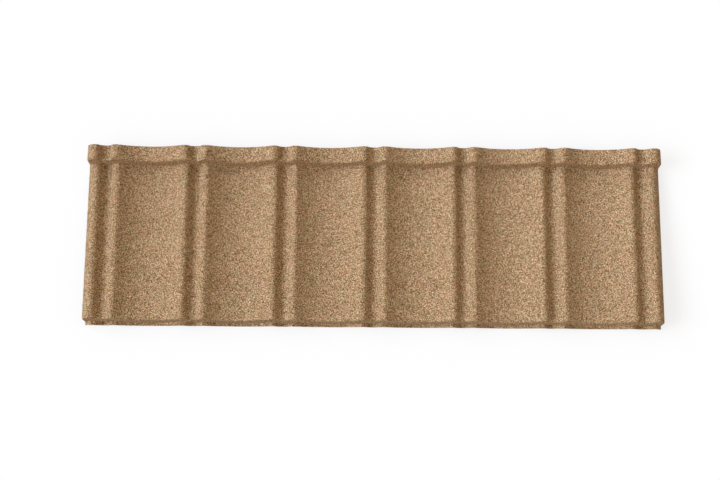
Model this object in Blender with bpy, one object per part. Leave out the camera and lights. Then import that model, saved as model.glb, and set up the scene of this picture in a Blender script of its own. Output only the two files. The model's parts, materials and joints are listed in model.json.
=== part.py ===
"""Tile effect metal roofing sheet: one steel sheet pressed into a row of pan tiles.

+X runs across the sheet, -Y to the nose that laps the course below, and +Z up. The sheet lies
as it does on its battens: the foot behind the pans and the lip under the nose touch the floor,
and the origin is on the floor under the middle of the sheet. All sizes are in metres, and
those of the bends are on the sheet's underside.
"""

import math
from collections import namedtuple

import bpy

# Wave across the sheet: ribs of two crests with a shallow valley, and round pans between them
PAN_COUNT = 6
PITCH = 0.2094  # from one rib's middle to the next
WAVE_HEIGHT = 0.0265  # from the bottom of a pan to a crest
CREST_SPACING = 0.050  # between the two crests of a rib
CREST_RADIUS = 0.0105
VALLEY_DEPTH = 0.0168  # from the crests down to the valley between them
SIDE_MARGIN = 0.0435  # from the outermost rib's middle to the cut side edge
EDGE_FLANK = math.radians(56.0)  # how steeply the outermost crests fall to the cut side edges
REAR_TRIM = 0.0025  # how far the side edges draw in across the rear flange

# Section from the rear edge to the front edge, along the bottom of a pan
SHEET_DEPTH = 0.420
SHEET_THICKNESS = 0.002  # steel with its stone chip coat
FLANGE_FLAT = 0.032  # level part of the rear flange, up to its bend
STEP_HEIGHT = 0.032
STEP_DRAFT = math.radians(10.0)  # lean of the step away from upright
STEP_TOP_RADIUS = 0.004
STEP_FOOT_RADIUS = 0.006
NOSE_HEIGHT = 0.037
NOSE_DRAFT = math.radians(7.0)
NOSE_TOP_RADIUS = 0.0045
NOSE_FOOT_RADIUS = 0.003
LIP_FLAT = 0.0055  # level part of the lip in front of the nose's lower bend

# Facets on each round stretch; an odd count leaves a level facet in its middle
PAN_FACETS = 9
CREST_FACETS = 5
VALLEY_FACETS = 5
BEND_FACETS = 3
SHARP_EDGE = math.radians(50.0)  # the cut edges stay crisp, and the bends are shaded round

COAT_COLOUR = (0.357, 0.227, 0.124, 1.0)  # sandy brown stone chips
COAT_ROUGHNESS = 0.85

Arc = namedtuple("Arc", "centre radius")  # radius is positive for a turn up, negative for a turn down


def point_on(arc, heading):
    """Where a path with this heading touches the arc."""
    return (
        arc.centre[0] + arc.radius * math.sin(heading),
        arc.centre[1] - arc.radius * math.cos(heading),
    )


def points_along(arc, start, end, facets):
    return [point_on(arc, start + (end - start) * i / facets) for i in range(facets + 1)]


def joined(stretches):
    """One list of points from stretches that each start where the one before ends."""
    path = list(stretches[0])
    for stretch in stretches[1:]:
        path += stretch[1:]
    return path


def wave_arcs():
    """The two crests and the valley of a rib, the pan on its right, and the headings between."""
    half_rib = CREST_SPACING / 2
    half_pan = PITCH / 2 - half_rib
    crest_and_valley = (half_rib**2 + VALLEY_DEPTH**2) / (2 * VALLEY_DEPTH)
    crest_and_pan = (half_pan**2 + WAVE_HEIGHT**2) / (2 * WAVE_HEIGHT)
    valley_radius = crest_and_valley - CREST_RADIUS
    pan_radius = crest_and_pan - CREST_RADIUS
    crest_level = WAVE_HEIGHT - CREST_RADIUS
    arcs = (
        Arc((-half_rib, crest_level), -CREST_RADIUS),
        Arc((0.0, WAVE_HEIGHT - VALLEY_DEPTH + valley_radius), valley_radius),
        Arc((half_rib, crest_level), -CREST_RADIUS),
        Arc((PITCH / 2, pan_radius), pan_radius),
    )
    return arcs, math.asin(half_rib / crest_and_valley), math.asin(half_pan / crest_and_pan)


def rib_points(rib):
    """Points of one rib and the pan on its right; the outermost crests end at the edge flanks."""
    (left_crest, valley, right_crest, pan), steep, gentle = wave_arcs()
    rise = EDGE_FLANK if rib == 0 else gentle
    fall = EDGE_FLANK if rib == PAN_COUNT else gentle
    stretches = [
        points_along(left_crest, rise, -steep, CREST_FACETS),
        points_along(valley, -steep, steep, VALLEY_FACETS),
        points_along(right_crest, steep, -fall, CREST_FACETS),
    ]
    if rib < PAN_COUNT:
        stretches.append(points_along(pan, -gentle, gentle, PAN_FACETS))
    middle = (rib - PAN_COUNT / 2) * PITCH
    return [(x + middle, z) for x, z in joined(stretches)]


def wave_path(half_width):
    """The wave across the whole sheet as (x, height), from one cut side edge to the other."""
    wave = joined([rib_points(rib) for rib in range(PAN_COUNT + 1)])
    crest_end, level = wave[-1]
    cut_level = level - (half_width - crest_end) * math.tan(EDGE_FLANK)
    path = [(-half_width, cut_level), *wave, (half_width, cut_level)]
    lowest = min(z for x, z in path)  # the level facets of the pans rest at height 0
    return [(x, z - lowest) for x, z in path]


def run_of_drop(height, draft, upper_radius, lower_radius):
    """How far apart along the sheet the centres of the two bends of a step lie."""
    straight_drop = height - upper_radius - lower_radius
    return (upper_radius + lower_radius + straight_drop * math.sin(draft)) / math.cos(draft)


def heading_between(first, second):
    """Heading of the straight that leaves one arc and meets the next without a kink."""
    along = second.centre[0] - first.centre[0]
    rise = second.centre[1] - first.centre[1]
    gain = second.radius - first.radius
    straight = math.sqrt(along**2 + rise**2 - gain**2)
    return math.atan2(rise, along) - math.atan2(gain, straight)


def section_arcs():
    """The four bends between the rear edge and the front edge, as (distance from the rear, height)."""
    step_run = run_of_drop(STEP_HEIGHT, STEP_DRAFT, STEP_TOP_RADIUS, STEP_FOOT_RADIUS)
    nose_run = run_of_drop(NOSE_HEIGHT, NOSE_DRAFT, NOSE_TOP_RADIUS, NOSE_FOOT_RADIUS)
    nose_foot_place = SHEET_DEPTH - LIP_FLAT
    return [
        Arc((0.0, STEP_HEIGHT), 0.0),
        Arc((FLANGE_FLAT, STEP_HEIGHT - STEP_TOP_RADIUS), -STEP_TOP_RADIUS),
        Arc((FLANGE_FLAT + step_run, STEP_FOOT_RADIUS), STEP_FOOT_RADIUS),
        Arc((nose_foot_place - nose_run, NOSE_HEIGHT - NOSE_TOP_RADIUS), -NOSE_TOP_RADIUS),
        Arc((nose_foot_place, NOSE_FOOT_RADIUS), NOSE_FOOT_RADIUS),
        Arc((SHEET_DEPTH, 0.0), 0.0),
    ]


def side_section():
    """Points (distance from the rear edge, height) of the section, and the slope of the pans."""
    arcs = section_arcs()
    headings = [heading_between(a, b) for a, b in zip(arcs, arcs[1:])]
    bends = [
        points_along(arc, arrive, leave, BEND_FACETS)
        for arc, arrive, leave in zip(arcs[1:-1], headings, headings[1:])
    ]
    path = [arcs[0].centre, *(point for bend in bends for point in bend), arcs[-1].centre]
    return path, math.tan(headings[2])


def underside_rows():
    """Rows of vertices from rear to front. The wave is pressed square to the sloping pans, so
    the bends lie further back at the crests, while the two cut edges stay straight."""
    section, slope = side_section()
    half_width = PAN_COUNT * PITCH / 2 + SIDE_MARGIN
    wave = wave_path(half_width)
    trimmed_wave = wave_path(half_width - REAR_TRIM)
    rows = []
    for i, (distance, height) in enumerate(section):
        set_back = slope if 0 < i < len(section) - 1 else 0.0
        across = trimmed_wave if i == 0 else wave
        rear_y = SHEET_DEPTH / 2 - distance
        rows.append([(x, rear_y + lift * set_back, height + lift) for x, lift in across])
    return rows


def sheet_mesh(name):
    rows = underside_rows()
    width = len(rows[0])
    vertices = [vertex for row in rows for vertex in row]
    faces = []
    for i in range(len(rows) - 1):
        for j in range(width - 1):
            corner = i * width + j
            faces.append((corner, corner + width, corner + width + 1, corner + 1))
    mesh = bpy.data.meshes.new(name)
    mesh.from_pydata(vertices, [], faces)
    mesh.update()
    return mesh


def coat_material():
    material = bpy.data.materials.new("stone_chip_coat")
    material.use_nodes = True
    shader = material.node_tree.nodes["Principled BSDF"]
    shader.inputs["Base Color"].default_value = COAT_COLOUR
    shader.inputs["Roughness"].default_value = COAT_ROUGHNESS
    shader.inputs["Metallic"].default_value = 0.0
    return material


def thickened(sheet):
    """The closed mesh of the sheet, with its thickness above the underside."""
    thicken = sheet.modifiers.new("sheet thickness", "SOLIDIFY")
    thicken.thickness = SHEET_THICKNESS
    thicken.offset = 1.0
    thicken.use_even_offset = True
    graph = bpy.context.evaluated_depsgraph_get()
    mesh = bpy.data.meshes.new_from_object(sheet.evaluated_get(graph))
    sheet.modifiers.remove(thicken)
    return mesh


def make_sheet():
    surface = sheet_mesh("sheet_underside")
    sheet = bpy.data.objects.new("roofing_sheet", surface)
    bpy.context.collection.objects.link(sheet)
    sheet.data = thickened(sheet)
    bpy.data.meshes.remove(surface)
    sheet.data.name = sheet.name
    sheet.data.materials.append(coat_material())
    sheet.data.shade_smooth()
    sheet.data.set_sharp_from_angle(angle=SHARP_EDGE)
    return sheet


for leftover in list(bpy.data.objects):
    bpy.data.objects.remove(leftover)
make_sheet()
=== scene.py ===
import json
import math
import random

import bpy
from mathutils import Matrix, Vector

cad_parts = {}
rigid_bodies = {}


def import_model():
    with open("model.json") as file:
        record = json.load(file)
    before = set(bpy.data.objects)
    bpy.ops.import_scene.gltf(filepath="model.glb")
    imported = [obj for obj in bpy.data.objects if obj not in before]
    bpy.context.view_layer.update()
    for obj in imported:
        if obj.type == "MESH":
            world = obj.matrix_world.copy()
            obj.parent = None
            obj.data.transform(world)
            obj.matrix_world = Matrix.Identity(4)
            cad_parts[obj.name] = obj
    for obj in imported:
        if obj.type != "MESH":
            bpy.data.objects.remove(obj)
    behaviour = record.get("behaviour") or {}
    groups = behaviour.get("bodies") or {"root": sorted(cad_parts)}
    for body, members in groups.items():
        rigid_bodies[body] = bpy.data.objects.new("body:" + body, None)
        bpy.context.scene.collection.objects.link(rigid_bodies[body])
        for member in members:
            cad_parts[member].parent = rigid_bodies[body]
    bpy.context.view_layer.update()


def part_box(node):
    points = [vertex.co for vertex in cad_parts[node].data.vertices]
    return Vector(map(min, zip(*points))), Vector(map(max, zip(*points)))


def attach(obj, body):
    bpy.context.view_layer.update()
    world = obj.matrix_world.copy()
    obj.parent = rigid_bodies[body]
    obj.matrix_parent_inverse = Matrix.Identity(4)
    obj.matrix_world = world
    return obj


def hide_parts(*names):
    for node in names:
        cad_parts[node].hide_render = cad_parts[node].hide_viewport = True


# A pressed tile sheet of coated steel with its stone chips, on a pale studio floor, seen from above.
# Lengths are in metres unless a name says mm.

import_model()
cadLow, cadHigh = (Vector(corner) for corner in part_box("roofing_sheet"))


def linearColour(hexCode):
    # sRGB hex to the linear values that a shader takes
    channels = [int(hexCode[i:i + 2], 16) / 255 for i in (1, 3, 5)]
    return [c / 12.92 if c <= 0.04045 else ((c + 0.055) / 1.055) ** 2.4 for c in channels] + [1.0]


def addNode(tree, kind, settings=None, inputs=None):
    # inputs maps a socket's name or number to a value, or to the output socket that feeds it.
    # Mix nodes use one name for several sockets: their vectors are 4 and 5, and their colours 6 and 7
    node = tree.nodes.new(kind)
    for name, value in (settings or {}).items():
        setattr(node, name, value)
    for socket, source in (inputs or {}).items():
        if isinstance(source, bpy.types.NodeSocket):
            tree.links.new(source, node.inputs[socket])
        else:
            node.inputs[socket].default_value = source
    return node


def newGeometryTree(name, inputs):
    # inputs is a list of (name, socket type)
    tree = bpy.data.node_groups.new(name, "GeometryNodeTree")
    for label, socketType in inputs:
        tree.interface.new_socket(label, in_out="INPUT", socket_type=socketType)
    tree.interface.new_socket("Geometry", in_out="OUTPUT", socket_type="NodeSocketGeometry")
    return tree, tree.nodes.new("NodeGroupInput").outputs


def meshFromTree(name, tree, values):
    # runs the tree on an empty mesh and gives a plain mesh object back, with no modifier left
    holder = bpy.data.objects.new(name + "Holder", bpy.data.meshes.new(name + "Start"))
    bpy.context.collection.objects.link(holder)
    modifier = holder.modifiers.new("nodes", "NODES")
    modifier.node_group = tree
    for item in tree.interface.items_tree:
        if item.in_out == "INPUT" and item.name in values:
            modifier[item.identifier] = values[item.name]
    holder.update_tag()
    graph = bpy.context.evaluated_depsgraph_get()
    mesh = bpy.data.meshes.new_from_object(holder.evaluated_get(graph), depsgraph=graph)
    bpy.data.objects.remove(holder)
    mesh.materials.pop(index=0)  # the empty slot that the holder's own mesh leaves
    mesh.name = name
    piece = bpy.data.objects.new(name, mesh)
    bpy.context.collection.objects.link(piece)
    return piece


def newMaterial(name):
    material = bpy.data.materials.new(name)
    material.use_nodes = True
    tree = material.node_tree
    return material, tree, tree.nodes["Principled BSDF"]


# What the sheet's press tool is set to
sheetValues = {
    "panCount": 6,
    "pitch": 0.2094,  # rib to rib
    "waveHeight": 0.0265,
    "crestSpacing": 0.050,
    "crestRadius": 0.0105,
    "valleyDepth": 0.0168,
    "sideMargin": 0.0439,  # from the outermost rib's middle to the cut side edge
    "edgeFlank": math.radians(56.0),  # the outermost crests fall this steeply to the side edges
    "rearTrim": 0.0025,  # the side edges draw in by this across the rear flange
    "flangeFlat": 0.032,
    "stepHeight": 0.032,
    "stepRadii": (0.004, 0.006),  # top, foot
    "noseHeight": 0.037,
    "noseRadii": (0.0045, 0.003),
    "lipFlat": 0.0055,
    "stepDraft": math.radians(10.0),
    "noseDraft": math.radians(7.0),
    "steelAndBinder": 0.0011,  # the chips stand on this, up to the full 2 mm
    "crestFacets": 8,
    "valleyFacets": 8,
    "panFacets": 18,
    "bendFacets": 6,
    "straightStep": 0.012,  # longest quad along the sheet
    "sharpAngle": math.radians(50.0),  # the cut edges stay crisp, and the bends are shaded round
}


def pointOn(centre, radius, heading):
    # radius is positive where the path turns up, negative where it turns down
    return (centre[0] + radius * math.sin(heading), centre[1] - radius * math.cos(heading))


def arcPoints(centre, radius, start, end, facets):
    return [pointOn(centre, radius, start + (end - start) * i / facets) for i in range(facets + 1)]


def wavePoints(values):
    # (x, lift) across the sheet: ribs of two crests and a valley, round pans between them, and
    # straight flanks from the outermost crests down to the cut side edges
    halfRib = values["crestSpacing"] / 2
    halfPan = values["pitch"] / 2 - halfRib
    height, depth, crestRadius = values["waveHeight"], values["valleyDepth"], values["crestRadius"]
    crestAndValley = (halfRib ** 2 + depth ** 2) / (2 * depth)
    crestAndPan = (halfPan ** 2 + height ** 2) / (2 * height)
    valleyRadius, panRadius = crestAndValley - crestRadius, crestAndPan - crestRadius
    steep, gentle = math.asin(halfRib / crestAndValley), math.asin(halfPan / crestAndPan)
    crestLevel = height - crestRadius
    valleyCentre = (0.0, height - depth + valleyRadius)
    valley = arcPoints(valleyCentre, valleyRadius, -steep, steep, values["valleyFacets"])
    pan = arcPoints((values["pitch"] / 2, panRadius), panRadius, -gentle, gentle, values["panFacets"])
    points = []
    for rib in range(values["panCount"] + 1):
        rise = values["edgeFlank"] if rib == 0 else gentle
        fall = values["edgeFlank"] if rib == values["panCount"] else gentle
        unit = arcPoints((-halfRib, crestLevel), -crestRadius, rise, -steep, values["crestFacets"])
        unit += valley[1:]
        unit += arcPoints((halfRib, crestLevel), -crestRadius, steep, -fall, values["crestFacets"])[1:]
        if rib < values["panCount"]:
            unit += pan[1:-1]
        middle = (rib - values["panCount"] / 2) * values["pitch"]
        points += [(middle + x, lift) for x, lift in unit]
    halfWidth = values["panCount"] * values["pitch"] / 2 + values["sideMargin"]
    crestEnd, level = points[-1]
    cutLift = level - (halfWidth - crestEnd) * math.tan(values["edgeFlank"])
    points = [(-halfWidth, cutLift), *points, (halfWidth, cutLift)]
    lowest = min(lift for x, lift in points)
    return [(x, lift - lowest) for x, lift in points]


def dropRun(height, draft, radii):
    straight = (height - sum(radii)) * math.sin(draft)
    return (sum(radii) + straight) / math.cos(draft)


def headingBetween(first, second):
    # heading of the straight that leaves one bend and meets the next without a kink
    along, rise = second[0][0] - first[0][0], second[0][1] - first[0][1]
    gain = second[1] - first[1]
    straight = math.sqrt(along ** 2 + rise ** 2 - gain ** 2)
    return math.atan2(rise, along) - math.atan2(gain, straight)


def spacedOut(path, longest):
    # points added on the straights, so that no quad is longer than this
    points = [path[0]]
    for (x0, z0), (x1, z1) in zip(path, path[1:]):
        count = max(1, math.ceil(math.hypot(x1 - x0, z1 - z0) / longest))
        points += [(x0 + (x1 - x0) * i / count, z0 + (z1 - z0) * i / count) for i in range(1, count + 1)]
    return points


def sectionPoints(values, depth):
    # (distance from the rear edge, height) under the bottom of a pan, and the pans' slope
    stepTop, stepFoot = values["stepRadii"]
    noseTop, noseFoot = values["noseRadii"]
    stepRun = dropRun(values["stepHeight"], values["stepDraft"], values["stepRadii"])
    noseRun = dropRun(values["noseHeight"], values["noseDraft"], values["noseRadii"])
    footPlace = depth - values["lipFlat"]
    bends = [
        ((0.0, values["stepHeight"]), 0.0),
        ((values["flangeFlat"], values["stepHeight"] - stepTop), -stepTop),
        ((values["flangeFlat"] + stepRun, stepFoot), stepFoot),
        ((footPlace - noseRun, values["noseHeight"] - noseTop), -noseTop),
        ((footPlace, noseFoot), noseFoot),
        ((depth, 0.0), 0.0),
    ]
    headings = [headingBetween(a, b) for a, b in zip(bends, bends[1:])]
    path = [bends[0][0]]
    for (centre, radius), arrive, leave in zip(bends[1:-1], headings, headings[1:]):
        path += arcPoints(centre, radius, arrive, leave, values["bendFacets"])
    path.append(bends[-1][0])
    return spacedOut(path, values["straightStep"]), math.tan(headings[2])


def guideCurve(name, points):
    curve = bpy.data.curves.new(name, "CURVE")
    curve.dimensions = "3D"
    spline = curve.splines.new("POLY")
    spline.points.add(len(points) - 1)
    for point, place in zip(spline.points, points):
        point.co = (*place, 1.0)
    guide = bpy.data.objects.new(name, curve)
    bpy.context.collection.objects.link(guide)
    return guide


def sheetTree():
    # a grid whose columns take their place from the wave and its rows from the side section
    tree, given = newGeometryTree("pressedSheet", [
        ("Wave", "NodeSocketObject"),
        ("Section", "NodeSocketObject"),
        ("Set Back", "NodeSocketFloat"),
        ("Rear Trim", "NodeSocketFloat"),
        ("Flank Slope", "NodeSocketFloat"),
        ("Flange Front", "NodeSocketFloat"),
        ("Rear Edge", "NodeSocketFloat"),
        ("Coat", "NodeSocketMaterial"),
    ])
    wave = addNode(tree, "GeometryNodeObjectInfo", None, {"Object": given["Wave"]})
    section = addNode(tree, "GeometryNodeObjectInfo", None, {"Object": given["Section"]})
    isCurve = {"component": "CURVE"}
    columns = addNode(tree, "GeometryNodeAttributeDomainSize", isCurve, {0: wave.outputs["Geometry"]})
    rows = addNode(tree, "GeometryNodeAttributeDomainSize", isCurve, {0: section.outputs["Geometry"]})
    columnCount, rowCount = columns.outputs["Point Count"], rows.outputs["Point Count"]
    grid = addNode(tree, "GeometryNodeMeshGrid", None, {"Vertices X": columnCount, "Vertices Y": rowCount})

    index = addNode(tree, "GeometryNodeInputIndex")
    share = addNode(tree, "ShaderNodeMath", {"operation": "DIVIDE"}, {0: index.outputs[0], 1: rowCount})
    column = addNode(tree, "ShaderNodeMath", {"operation": "FLOOR"}, {0: share.outputs[0]})
    row = addNode(tree, "ShaderNodeMath", {"operation": "MODULO"}, {0: index.outputs[0], 1: rowCount})
    place = addNode(tree, "GeometryNodeInputPosition")
    sampling = {"data_type": "FLOAT_VECTOR", "domain": "POINT"}
    across = addNode(tree, "GeometryNodeSampleIndex", sampling, {
        "Geometry": wave.outputs["Geometry"], "Value": place.outputs[0], "Index": column.outputs[0]})
    along = addNode(tree, "GeometryNodeSampleIndex", sampling, {
        "Geometry": section.outputs["Geometry"], "Value": place.outputs[0], "Index": row.outputs[0]})
    waveParts = addNode(tree, "ShaderNodeSeparateXYZ", None, {0: across.outputs[0]})
    sectionParts = addNode(tree, "ShaderNodeSeparateXYZ", None, {0: along.outputs[0]})

    # the cut side edges draw in along their flanks towards the rear corners
    lastColumn = addNode(tree, "ShaderNodeMath", {"operation": "SUBTRACT"}, {0: columnCount, 1: 1.5})
    atRight = addNode(tree, "ShaderNodeMath", {"operation": "GREATER_THAN"},
                      {0: column.outputs[0], 1: lastColumn.outputs[0]})
    atLeft = addNode(tree, "ShaderNodeMath", {"operation": "LESS_THAN"}, {0: column.outputs[0], 1: 0.5})
    side = addNode(tree, "ShaderNodeMath", {"operation": "SUBTRACT"},
                   {0: atRight.outputs[0], 1: atLeft.outputs[0]})
    inset = addNode(tree, "ShaderNodeMapRange", None, {
        "Value": sectionParts.outputs["Y"], "From Min": given["Flange Front"],
        "From Max": given["Rear Edge"], "To Max": given["Rear Trim"]})
    inward = addNode(tree, "ShaderNodeMath", {"operation": "MULTIPLY"},
                     {0: side.outputs[0], 1: inset.outputs[0]})
    x = addNode(tree, "ShaderNodeMath", {"operation": "SUBTRACT"},
                {0: waveParts.outputs["X"], 1: inward.outputs[0]})
    shift = addNode(tree, "ShaderNodeMath", {"operation": "ABSOLUTE"}, {0: inward.outputs[0]})
    lift = addNode(tree, "ShaderNodeMath", {"operation": "MULTIPLY_ADD"},
                   {0: shift.outputs[0], 1: given["Flank Slope"], 2: waveParts.outputs["Z"]})

    # the wave is pressed square to the sloping pans, so the bends lie further back at the crests,
    # and the two cut edges stay straight
    lastRow = addNode(tree, "ShaderNodeMath", {"operation": "SUBTRACT"}, {0: rowCount, 1: 1.0})
    afterFirst = addNode(tree, "ShaderNodeMath", {"operation": "GREATER_THAN"}, {0: row.outputs[0], 1: 0.5})
    edgeRow = addNode(tree, "ShaderNodeMath", {"operation": "SUBTRACT"}, {0: lastRow.outputs[0], 1: 0.5})
    beforeLast = addNode(tree, "ShaderNodeMath", {"operation": "LESS_THAN"},
                         {0: row.outputs[0], 1: edgeRow.outputs[0]})
    inner = addNode(tree, "ShaderNodeMath", {"operation": "MULTIPLY"},
                    {0: afterFirst.outputs[0], 1: beforeLast.outputs[0]})
    slope = addNode(tree, "ShaderNodeMath", {"operation": "MULTIPLY"},
                    {0: inner.outputs[0], 1: given["Set Back"]})
    back = addNode(tree, "ShaderNodeMath", {"operation": "MULTIPLY_ADD"},
                   {0: lift.outputs[0], 1: slope.outputs[0], 2: sectionParts.outputs["Y"]})
    height = addNode(tree, "ShaderNodeMath", None, {0: lift.outputs[0], 1: sectionParts.outputs["Z"]})
    point = addNode(tree, "ShaderNodeCombineXYZ", None,
                    {0: x.outputs[0], 1: back.outputs[0], 2: height.outputs[0]})
    shaped = addNode(tree, "GeometryNodeSetPosition", None,
                     {"Geometry": grid.outputs["Mesh"], "Position": point.outputs[0]})
    smooth = addNode(tree, "GeometryNodeSetShadeSmooth", None, {0: shaped.outputs[0]})
    real = addNode(tree, "GeometryNodeRealizeInstances", None, {0: smooth.outputs[0]})
    coated = addNode(tree, "GeometryNodeSetMaterial", None,
                     {"Geometry": real.outputs[0], "Material": given["Coat"]})
    addNode(tree, "NodeGroupOutput", None, {0: coated.outputs[0]})
    return tree


def makeSheet(values, coat, primer, cutEdge):
    waveGuide = guideCurve("waveGuide", [(x, 0.0, lift) for x, lift in wavePoints(values)])
    section, slope = sectionPoints(values, cadHigh.y - cadLow.y)
    sectionGuide = guideCurve("sectionGuide", [(0.0, cadHigh.y - run, z) for run, z in reversed(section)])
    sheet = meshFromTree("roofingSheet", sheetTree(), {
        "Wave": waveGuide, "Section": sectionGuide, "Set Back": slope,
        "Rear Trim": values["rearTrim"], "Flank Slope": math.tan(values["edgeFlank"]),
        "Flange Front": cadHigh.y - values["flangeFlat"], "Rear Edge": cadHigh.y, "Coat": coat})
    for guide in (waveGuide, sectionGuide):
        bpy.data.objects.remove(guide)
    sheet.data.materials.append(primer)
    sheet.data.materials.append(cutEdge)
    return sheet


def thickenSheet(sheet, values):
    # the coat is on top, the primer below, and the rim shows the cut edge
    thicken = sheet.modifiers.new("thickness", "SOLIDIFY")
    thicken.thickness = values["steelAndBinder"]
    thicken.offset = 1.0
    thicken.use_even_offset = True
    thicken.material_offset = 1
    thicken.material_offset_rim = 2
    graph = bpy.context.evaluated_depsgraph_get()
    mesh = bpy.data.meshes.new_from_object(sheet.evaluated_get(graph))
    sheet.modifiers.remove(thicken)
    mesh.name = sheet.name
    sheet.data = mesh
    sheet.data.set_sharp_from_angle(angle=values["sharpAngle"])


# The coat's fine grit, and how its colour drifts from place to place
coatValues = {
    "fineGritMm": 1.0,  # coarser than the real fines, so that it shows between the chips
    "gritColours": ("#3C2106", "#6C4B27", "#9D7A50", "#CBA87F", "#F4D7B1"),
    "gritShares": (0.0, 0.18, 0.37, 0.61, 0.82),
    "patchMm": 45.0,  # patches that are a little lighter or darker
    "patchNoise": (0.3, 0.7),  # where the noise mostly lies
    "patchStrength": 0.03,
    "driftMm": 24.0,  # and clusters that are a little redder or greener
    "driftNoise": (0.35, 0.65),
    "redTint": (1.03, 0.982, 1.0),
    "greenTint": (0.97, 1.018, 1.0),
    "reliefMm": 0.35,
    "reliefStrength": 0.8,
    "roughness": 0.78,
    "gloss": 0.12,  # the hollows between grains swallow it
}


def driftedColour(tree, values, colour, place):
    # the blend's hue drifts by a few percent, as redder and greener chips fall in clusters
    noise = addNode(tree, "ShaderNodeTexNoise", None,
                    {"Vector": place, "Scale": 1000 / values["driftMm"], "Detail": 2.0})
    low, high = values["driftNoise"]
    share = addNode(tree, "ShaderNodeMapRange", None,
                    {"Value": noise.outputs["Fac"], "From Min": low, "From Max": high})
    tint = addNode(tree, "ShaderNodeMix", {"data_type": "VECTOR"}, {
        "Factor": share.outputs["Result"], 4: values["greenTint"], 5: values["redTint"]})
    return addNode(tree, "ShaderNodeVectorMath", {"operation": "MULTIPLY"},
                   {0: colour, 1: tint.outputs[1]}).outputs["Vector"]


def gritCoat(values):
    # crushed stone bonded in acrylic: matt, speckled grain by grain, with a faint wax-like sheen
    material, tree, shader = newMaterial("stoneGritCoat")
    place = addNode(tree, "ShaderNodeTexCoord").outputs["Object"]
    scale = 1000 / values["fineGritMm"]
    grains = addNode(tree, "ShaderNodeTexVoronoi", None, {"Vector": place, "Scale": scale})
    tone = addNode(tree, "ShaderNodeSeparateColor", None, {"Color": grains.outputs["Color"]})
    ramp = addNode(tree, "ShaderNodeValToRGB", None, {"Fac": tone.outputs[0]})
    ramp.color_ramp.interpolation = "CONSTANT"
    steps = ramp.color_ramp.elements
    for share, colour in zip(values["gritShares"], values["gritColours"]):
        step = steps[0] if share == 0.0 else steps.new(share)
        step.color = linearColour(colour)
    steps.remove(steps[len(steps) - 1])  # the white end that a new ramp has
    patches = addNode(tree, "ShaderNodeTexNoise", None,
                      {"Vector": place, "Scale": 1000 / values["patchMm"], "Detail": 3.0})
    low, high = values["patchNoise"]
    lift = addNode(tree, "ShaderNodeMapRange", None, {
        "Value": patches.outputs["Fac"], "From Min": low, "From Max": high,
        "To Min": 1 - values["patchStrength"], "To Max": 1 + values["patchStrength"]})
    shade = addNode(tree, "ShaderNodeVectorMath", {"operation": "SCALE"},
                    {0: ramp.outputs["Color"], "Scale": lift.outputs["Result"]})
    relief = addNode(tree, "ShaderNodeBump", {"invert": True}, {
        "Distance": values["reliefMm"] / 1000, "Height": grains.outputs["Distance"],
        "Strength": values["reliefStrength"]})
    colour = driftedColour(tree, values, shade.outputs["Vector"], place)
    tree.links.new(colour, shader.inputs["Base Color"])
    tree.links.new(relief.outputs["Normal"], shader.inputs["Normal"])
    shader.inputs["Roughness"].default_value = values["roughness"]
    shader.inputs["Specular IOR Level"].default_value = values["gloss"]
    return material


primerValues = {
    "colours": ("#8F8878", "#A39C8B"),
    "streaksPerMetre": (18.0, 360.0),  # 56 mm long along the roller's run, and 2.8 mm wide
    "roughness": 0.42,
}


def primedSteel(values):
    # roller-coated primer on zinc-aluminium steel: thin, smooth and low in gloss, faintly streaked
    material, tree, shader = newMaterial("greyPrimer")
    place = addNode(tree, "ShaderNodeTexCoord").outputs["Object"]
    along, across = values["streaksPerMetre"]
    stretch = addNode(tree, "ShaderNodeMapping", None, {"Vector": place, "Scale": (along, across, along)})
    streaks = addNode(tree, "ShaderNodeTexNoise", None,
                      {"Vector": stretch.outputs["Vector"], "Scale": 1.0, "Detail": 4.0})
    dark, light = (linearColour(colour) for colour in values["colours"])
    mix = addNode(tree, "ShaderNodeMix", {"data_type": "RGBA"},
                  {"Factor": streaks.outputs["Fac"], 6: dark, 7: light})
    tree.links.new(mix.outputs[2], shader.inputs["Base Color"])
    shader.inputs["Roughness"].default_value = values["roughness"]
    return material


cutEdgeValues = {
    "colours": ("#4A3B2B", "#8A7254"),
    "grainsPerMetre": 900.0,  # 1.1 mm each
    "roughness": 0.7,
}


def cutSteel(values):
    # sheared edge: steel smeared with the brown of the broken coat, dull and uneven
    material, tree, shader = newMaterial("shearedEdge")
    place = addNode(tree, "ShaderNodeTexCoord").outputs["Object"]
    grain = addNode(tree, "ShaderNodeTexNoise", None,
                    {"Vector": place, "Scale": values["grainsPerMetre"], "Detail": 3.0})
    dark, light = (linearColour(colour) for colour in values["colours"])
    mix = addNode(tree, "ShaderNodeMix", {"data_type": "RGBA"},
                  {"Factor": grain.outputs["Fac"], 6: dark, 7: light})
    tree.links.new(mix.outputs[2], shader.inputs["Base Color"])
    shader.inputs["Roughness"].default_value = values["roughness"]
    return material


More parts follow.
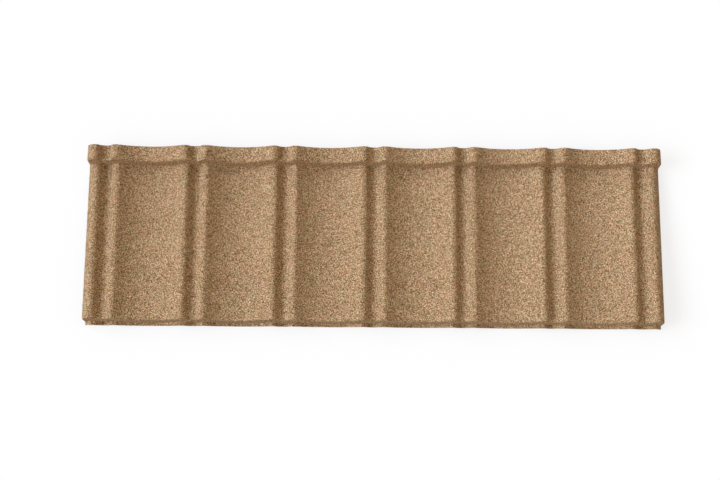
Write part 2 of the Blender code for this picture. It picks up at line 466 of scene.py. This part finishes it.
# Stone chips in an acrylic binder: the blend of colours is what a crushed and glazed grit gives.
# Most real chips are 0.5 to 1.5 mm across. These are coarser, so that the speckle shows from afar
chipBlend = {
    # name: (colour, how many, smallest and largest across in mm, seed)
    "sandChips": ("#AE8C64", 24000, 1.3, 2.2, 11),
    "creamChips": ("#F0D2AD", 22000, 1.2, 2.0, 23),
    "brownChips": ("#785832", 23000, 1.2, 2.1, 37),
    "umberChips": ("#432809", 20000, 1.1, 1.9, 41),
    "russetChips": ("#A16A44", 13000, 1.2, 2.0, 59),
}
chipValues = {
    "shapes": 4,
    "shapeSeed": 7,
    "cornerShift": 0.12,  # these three are shares of a chip's width
    "topShift": 0.2,
    "footShift": 0.1,
    "stretch": (0.8, 1.25),  # length over width
    "flatness": 0.55,  # height over width
    "sunk": 0.5,  # share of the height that the binder holds
    "tilt": math.radians(22),
    "edgeMargin": 0.0016,  # chips keep this far from the cut edges
    "tones": (0.76, 1.24),  # darkest and lightest chip of one colour
    "roughness": 0.72,
    "gloss": 0.15,
}


def chipStone(name, hexCode, values):
    # crushed stone with a baked pigment glaze: each chip has its own tone, and its faces are dull
    material, tree, shader = newMaterial(name)
    tone = addNode(tree, "ShaderNodeAttribute", {"attribute_name": "tone"})
    darkest, lightest = values["tones"]
    lift = addNode(tree, "ShaderNodeMapRange", None,
                   {"Value": tone.outputs["Fac"], "To Min": darkest, "To Max": lightest})
    shade = addNode(tree, "ShaderNodeVectorMath", {"operation": "SCALE"},
                    {0: linearColour(hexCode)[:3], "Scale": lift.outputs["Result"]})
    place = addNode(tree, "ShaderNodeTexCoord").outputs["Object"]
    colour = driftedColour(tree, coatValues, shade.outputs["Vector"], place)  # as the fine grit does
    tree.links.new(colour, shader.inputs["Base Color"])
    shader.inputs["Roughness"].default_value = values["roughness"]
    shader.inputs["Specular IOR Level"].default_value = values["gloss"]
    return material


def chipShapes(values):
    # crushed grit: lopsided blocks of eight facets, one unit across
    draw = random.Random(values["shapeSeed"])

    def shifted(x, y, z, most):
        return (x + draw.uniform(-most, most), y + draw.uniform(-most, most), z)

    top, foot = 4, 5  # after the four corners
    faces = [(corner, (corner + 1) % 4, top) for corner in range(4)]
    faces += [((corner + 1) % 4, corner, foot) for corner in range(4)]
    group = bpy.data.collections.new("chipShapes")
    for number in range(values["shapes"]):
        right, left, back, front = (shifted(x, y, 0.0, values["cornerShift"])
                                    for x, y in ((0.5, 0.0), (-0.5, 0.0), (0.0, 0.5), (0.0, -0.5)))
        points = [right, back, left, front]
        points.append(shifted(0.0, 0.0, 0.5, values["topShift"]))
        points.append(shifted(0.0, 0.0, -0.5, values["footShift"]))
        mesh = bpy.data.meshes.new(f"chipShape{number}")
        mesh.from_pydata(points, [], faces)
        group.objects.link(bpy.data.objects.new(f"chipShape{number}", mesh))
    return group


def chipTree():
    tree, given = newGeometryTree("scatteredChips", [
        ("Sheet", "NodeSocketObject"),
        ("Chips", "NodeSocketCollection"),
        ("Density", "NodeSocketFloat"),
        ("Smallest", "NodeSocketFloat"),
        ("Largest", "NodeSocketFloat"),
        ("Least Stretch", "NodeSocketFloat"),
        ("Most Stretch", "NodeSocketFloat"),
        ("Flatness", "NodeSocketFloat"),
        ("Sunk", "NodeSocketFloat"),
        ("Tilt", "NodeSocketFloat"),
        ("Edge X", "NodeSocketFloat"),
        ("Edge Y", "NodeSocketFloat"),
        ("Seed", "NodeSocketInt"),
        ("Stone", "NodeSocketMaterial"),
    ])
    sheet = addNode(tree, "GeometryNodeObjectInfo", None, {"Object": given["Sheet"]})
    slot = addNode(tree, "GeometryNodeInputMaterialIndex")
    isCoat = addNode(tree, "ShaderNodeMath", {"operation": "LESS_THAN"}, {0: slot.outputs[0], 1: 0.5})
    spread = addNode(tree, "GeometryNodeDistributePointsOnFaces", {"distribute_method": "RANDOM"}, {
        "Mesh": sheet.outputs["Geometry"], "Selection": isCoat.outputs[0],
        "Density": given["Density"], "Seed": given["Seed"]})

    # chips whose middle would come too near a cut edge are left out
    spot = addNode(tree, "GeometryNodeInputPosition")
    spotParts = addNode(tree, "ShaderNodeSeparateXYZ", None, {0: spot.outputs[0]})
    outX = addNode(tree, "ShaderNodeMath", {"operation": "ABSOLUTE"}, {0: spotParts.outputs["X"]})
    outY = addNode(tree, "ShaderNodeMath", {"operation": "ABSOLUTE"}, {0: spotParts.outputs["Y"]})
    pastX = addNode(tree, "ShaderNodeMath", {"operation": "GREATER_THAN"},
                    {0: outX.outputs[0], 1: given["Edge X"]})
    pastY = addNode(tree, "ShaderNodeMath", {"operation": "GREATER_THAN"},
                    {0: outY.outputs[0], 1: given["Edge Y"]})
    past = addNode(tree, "ShaderNodeMath", {"operation": "MAXIMUM"},
                   {0: pastX.outputs[0], 1: pastY.outputs[0]})
    kept = addNode(tree, "GeometryNodeDeleteGeometry", {"domain": "POINT"},
                   {"Geometry": spread.outputs["Points"], "Selection": past.outputs[0]})

    # each chip draws its size, stretch, turn and tone, each from a fixed seed of its own
    span = addNode(tree, "FunctionNodeRandomValue", {"data_type": "FLOAT"}, {
        2: given["Smallest"], 3: given["Largest"], "Seed": given["Seed"]})
    size = span.outputs[1]
    stretch = addNode(tree, "FunctionNodeRandomValue", {"data_type": "FLOAT"}, {
        2: given["Least Stretch"], 3: given["Most Stretch"], "Seed": 2})
    long = addNode(tree, "ShaderNodeMath", {"operation": "MULTIPLY"}, {0: size, 1: stretch.outputs[1]})
    tall = addNode(tree, "ShaderNodeMath", {"operation": "MULTIPLY"}, {0: size, 1: given["Flatness"]})
    scale = addNode(tree, "ShaderNodeCombineXYZ", None, {0: long.outputs[0], 1: size, 2: tall.outputs[0]})

    leanBack = addNode(tree, "ShaderNodeMath", {"operation": "MULTIPLY"}, {0: given["Tilt"], 1: -1.0})
    lowTurn = addNode(tree, "ShaderNodeCombineXYZ", None,
                      {0: leanBack.outputs[0], 1: leanBack.outputs[0], 2: -math.pi})
    highTurn = addNode(tree, "ShaderNodeCombineXYZ", None, {0: given["Tilt"], 1: given["Tilt"], 2: math.pi})
    turn = addNode(tree, "FunctionNodeRandomValue", {"data_type": "FLOAT_VECTOR"}, {
        0: lowTurn.outputs[0], 1: highTurn.outputs[0], "Seed": 5})
    turned = addNode(tree, "FunctionNodeRotateRotation", {"rotation_space": "LOCAL"}, {
        "Rotation": spread.outputs["Rotation"], "Rotate By": turn.outputs[0]})
    shapes = addNode(tree, "GeometryNodeCollectionInfo", None, {
        "Collection": given["Chips"], "Separate Children": True, "Reset Children": True})
    placed = addNode(tree, "GeometryNodeInstanceOnPoints", None, {
        "Points": kept.outputs[0], "Instance": shapes.outputs[0], "Pick Instance": True,
        "Rotation": turned.outputs[0], "Scale": scale.outputs[0]})
    # local offsets are in units of the chip's own height
    offset = addNode(tree, "ShaderNodeMath", {"operation": "SUBTRACT"}, {0: 0.5, 1: given["Sunk"]})
    rise = addNode(tree, "ShaderNodeCombineXYZ", None, {2: offset.outputs[0]})
    risen = addNode(tree, "GeometryNodeTranslateInstances", None, {
        "Instances": placed.outputs[0], "Translation": rise.outputs[0], "Local Space": True})
    anyTone = addNode(tree, "FunctionNodeRandomValue", {"data_type": "FLOAT"}, {2: 0.0, 3: 1.0, "Seed": 8})
    toned = addNode(tree, "GeometryNodeStoreNamedAttribute", {"data_type": "FLOAT", "domain": "INSTANCE"}, {
        "Geometry": risen.outputs[0], "Name": "tone", "Value": anyTone.outputs[1]})
    real = addNode(tree, "GeometryNodeRealizeInstances", None, {0: toned.outputs[0]})
    stone = addNode(tree, "GeometryNodeSetMaterial", None,
                    {"Geometry": real.outputs[0], "Material": given["Stone"]})
    addNode(tree, "NodeGroupOutput", None, {0: stone.outputs[0]})
    return tree


def makeChips(sheet, values, blend):
    shapes = chipShapes(values)
    tree = chipTree()
    coatArea = sum(face.area for face in sheet.data.polygons if face.material_index == 0)
    made = []
    for name, (hexCode, count, smallest, largest, seed) in blend.items():
        chips = meshFromTree(name, tree, {
            "Sheet": sheet, "Chips": shapes, "Density": count / coatArea,
            "Smallest": smallest / 1000, "Largest": largest / 1000,
            "Least Stretch": values["stretch"][0], "Most Stretch": values["stretch"][1],
            "Flatness": values["flatness"], "Sunk": values["sunk"], "Tilt": values["tilt"],
            "Edge X": cadHigh.x - values["edgeMargin"], "Edge Y": cadHigh.y - values["edgeMargin"],
            "Seed": seed, "Stone": chipStone(name.removesuffix("s"), hexCode, values)})
        print(f"scene: {name}, {len(chips.data.polygons)} facets")
        made.append(chips)
    for shape in list(shapes.objects):
        bpy.data.objects.remove(shape)
    bpy.data.collections.remove(shapes)
    return made


# The studio: a pale floor under an even sky, and a wide bank of soft lamps on the left
studioValues = {
    "floorColour": "#AAAAA8",
    "floorSeen": "#FFFFFF",
    "floorGlow": 0.75,  # share of plain white in what the camera sees, beside the lit floor
    "floorRoughness": 0.9,
    "floorHalfWidth": 9.0,
    "sky": 0.56,
    "skyColour": "#FFF3E0",  # the room's fill is a little warm
    "lampColour": "#E1ECFF",  # and the lamps a little cool, so that level surfaces get white light
    "lamps": {
        # name: (strength, bearing from the right side, height above the floor), in degrees
        "middleLamp": (1.94, 180, 36),
        "rearLamp": (0.75, 150, 36),
        "frontLamp": (0.5, 210, 36),
    },
    "lampWidth": math.radians(26),
}


def seenDirectly(tree):
    # 1 for the camera, and for what gloss and glass show of it
    path = addNode(tree, "ShaderNodeLightPath")
    either = addNode(tree, "ShaderNodeMath", {"operation": "MAXIMUM"},
                     {0: path.outputs["Is Camera Ray"], 1: path.outputs["Is Glossy Ray"]})
    return addNode(tree, "ShaderNodeMath", {"operation": "MAXIMUM"},
                   {0: either.outputs[0], 1: path.outputs["Is Transmission Ray"]}).outputs[0]


def makeFloor(values):
    # matt card: the sheet gets the light of its own pale grey, and the camera sees it near white
    # with the sheet's shadow on it
    half = values["floorHalfWidth"]
    mesh = bpy.data.meshes.new("studioFloor")
    corners = [(-half, -half, 0), (half, -half, 0), (half, half, 0), (-half, half, 0)]
    mesh.from_pydata(corners, [], [(0, 1, 2, 3)])
    floor = bpy.data.objects.new("studioFloor", mesh)
    bpy.context.collection.objects.link(floor)
    material, tree, shader = newMaterial("mattCard")
    seen = seenDirectly(tree)
    tone = addNode(tree, "ShaderNodeMix", {"data_type": "RGBA"}, {
        "Factor": seen, 6: linearColour(values["floorColour"]), 7: linearColour(values["floorSeen"])})
    tree.links.new(tone.outputs[2], shader.inputs["Base Color"])
    shader.inputs["Roughness"].default_value = values["floorRoughness"]
    glow = addNode(tree, "ShaderNodeEmission", None, {"Color": (1, 1, 1, 1), "Strength": 1.0})
    share = addNode(tree, "ShaderNodeMath", {"operation": "MULTIPLY"}, {0: seen, 1: values["floorGlow"]})
    mix = addNode(tree, "ShaderNodeMixShader", None,
                  {0: share.outputs[0], 1: shader.outputs[0], 2: glow.outputs[0]})
    tree.links.new(mix.outputs[0], tree.nodes["Material Output"].inputs["Surface"])
    mesh.materials.append(material)


def makeSky(values):
    world = bpy.data.worlds.new("studioSky")
    bpy.context.scene.world = world
    world.use_nodes = True
    tree = world.node_tree
    seen = seenDirectly(tree)
    strength = addNode(tree, "ShaderNodeMapRange", None,
                       {"Value": seen, "To Min": values["sky"], "To Max": 1.0})
    tint = addNode(tree, "ShaderNodeMix", {"data_type": "RGBA"}, {
        "Factor": seen, 6: linearColour(values["skyColour"]), 7: (1, 1, 1, 1)})
    light = tree.nodes["Background"]
    tree.links.new(tint.outputs[2], light.inputs["Color"])
    tree.links.new(strength.outputs["Result"], light.inputs["Strength"])


def makeLamps(values):
    for name, (strength, bearing, height) in values["lamps"].items():
        sun = bpy.data.lights.new(name, "SUN")
        sun.energy = strength
        sun.color = linearColour(values["lampColour"])[:3]
        sun.angle = values["lampWidth"]
        lamp = bpy.data.objects.new(name, sun)
        lamp.matrix_world = (Matrix.Rotation(math.radians(bearing), 4, "Z")
                             @ Matrix.Rotation(math.radians(90 - height), 4, "Y"))
        bpy.context.collection.objects.link(lamp)


cameraValues = {
    "place": (-0.0319, -0.3302, 2.9668),
    "leanForward": math.radians(6.279),
    "roll": math.radians(0.436),
    "lens": 63.22,
}


def makeCamera(values):
    camera = bpy.data.objects.new("camera", bpy.data.cameras.new("camera"))
    camera.data.lens = values["lens"]
    camera.matrix_world = (Matrix.Translation(values["place"])
                           @ Matrix.Rotation(values["leanForward"], 4, "X")
                           @ Matrix.Rotation(values["roll"], 4, "Z"))
    bpy.context.collection.objects.link(camera)
    bpy.context.scene.camera = camera


makeCamera(cameraValues)
sheet = makeSheet(sheetValues, gritCoat(coatValues), primedSteel(primerValues), cutSteel(cutEdgeValues))
thickenSheet(sheet, sheetValues)
print(f"scene: sheet, {len(sheet.data.polygons)} faces")
chips = makeChips(sheet, chipValues, chipBlend)
for piece in (sheet, *chips):
    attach(piece, "root")
    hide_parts("roofing_sheet")

makeFloor(studioValues)
makeSky(studioValues)
makeLamps(studioValues)
bpy.context.scene.view_settings.view_transform = "Standard"
print(f"scene: studio, {len(studioValues['lamps'])} lamps")
